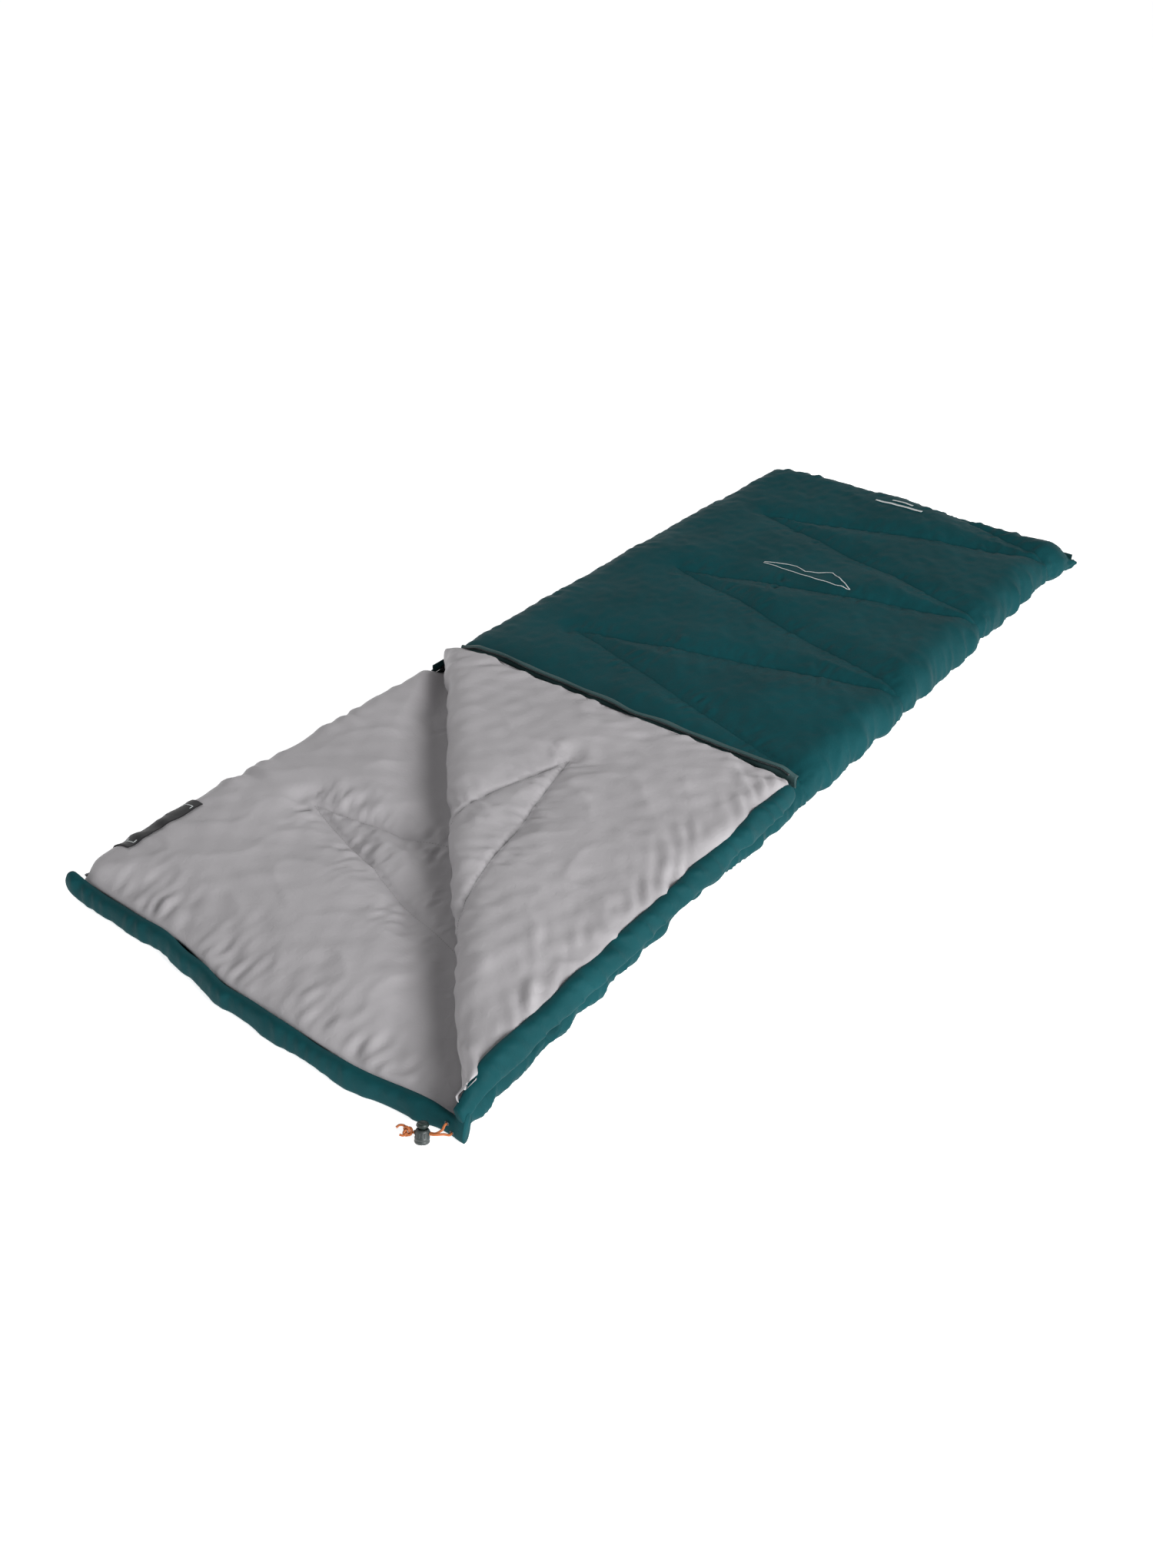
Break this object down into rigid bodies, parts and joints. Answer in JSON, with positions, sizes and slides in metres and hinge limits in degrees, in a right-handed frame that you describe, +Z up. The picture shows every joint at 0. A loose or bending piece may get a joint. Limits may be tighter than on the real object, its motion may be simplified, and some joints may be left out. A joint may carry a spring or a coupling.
{
  "type": "camp quilt",
  "caption": "Rectangular quilted camp quilt lying flat, with a folded-back head corner, an L-shaped side zip with slider, and a drawcord with a sprung cord lock.",
  "frame": {"origin": "middle of the footprint on the ground", "axes": "+Y along the quilt from head to foot, +X towards the folded side that has no zip, +Z up"},
  "size_m": [0.7493, 1.9297, 0.0842],
  "materials": {
    "teal_shell": "satin",
    "grey_lining": "satin",
    "white_fibre": "matte",
    "zip_tape": "matte",
    "zip_coil": "satin",
    "slider_metal": "satin",
    "orange_cord": "matte",
    "lock_plastic": "satin",
    "lock_cap_plastic": "satin",
    "woven_label": "matte"
  },
  "bodies": {
    "bottom_quilt": {"bottom_shell": "teal_shell", "bottom_batting": "white_fibre", "bottom_lining": "grey_lining", "side_fold_strip": "teal_shell", "bottom_head_hem": "teal_shell", "bottom_drawcord": "orange_cord", "bottom_zip_tape": "zip_tape", "bottom_zip_coil": "zip_coil", "bottom_zip_stop": "slider_metal", "zip_retainer_box": "slider_metal", "woven_label": "woven_label", "drawcord_eyelet_upper": "slider_metal", "drawcord_eyelet_lower": "slider_metal", "drawcord_strand_upper": "orange_cord", "drawcord_strand_lower": "orange_cord", "drawcord_knot": "orange_cord"},
    "top_quilt": {"top_shell": "teal_shell", "top_batting": "white_fibre", "top_lining": "grey_lining", "top_zip_tape": "zip_tape", "top_zip_coil": "zip_coil", "zip_insertion_pin": "slider_metal"},
    "corner_flap": {"flap_shell": "teal_shell", "flap_batting": "white_fibre", "flap_lining": "grey_lining", "flap_head_hem": "teal_shell", "flap_drawcord": "orange_cord", "flap_zip_tape": "zip_tape", "flap_zip_coil": "zip_coil", "flap_zip_stop": "slider_metal", "flap_fold_strip": "grey_lining"},
    "zip_slider": {"slider_body": "slider_metal"},
    "zip_pull": {"pull_tab": "slider_metal"},
    "cord_lock": {"lock_barrel": "lock_plastic", "lock_spring": "slider_metal"},
    "cord_lock_button": {"lock_plunger": "lock_cap_plastic"}
  },
  "joints": [
    {"name": "side_fold", "type": "hinge", "parent": "bottom_quilt", "child": "top_quilt", "pos_m": [0.375, 0, 0.0278], "axis": [0, 1, 0], "range_deg": [0, 180], "deforming": ["side_fold_strip"]},
    {"name": "corner_fold", "type": "hinge", "parent": "top_quilt", "child": "corner_flap", "pos_m": [0.375, -0.95, 0.0564], "axis": [0.7071, -0.7071, 0], "range_deg": [0, 180], "deforming": ["flap_fold_strip"]},
    {"name": "zip_travel", "type": "slide", "parent": "bottom_quilt", "child": "zip_slider", "axis": [0, -1, 0], "range_m": [-1.066, 0.744]},
    {"name": "pull_swing", "type": "hinge", "parent": "zip_slider", "child": "zip_pull", "pos_m": [-0.3719, -0.166, 0.0278], "axis": [0, 0, -1], "range_deg": [0, 165]},
    {"name": "lock_travel", "type": "slide", "parent": "bottom_quilt", "child": "cord_lock", "axis": [0.866, 0.5, 0], "range_m": [0, 0.008]},
    {"name": "button_press", "type": "slide", "parent": "cord_lock", "child": "cord_lock_button", "axis": [0.2034, -0.3522, -0.9135], "range_m": [0, 0.0025], "stiffness_N_per_m": 400, "springref_m": -0.005, "deforming": ["lock_spring"]}
  ]
}
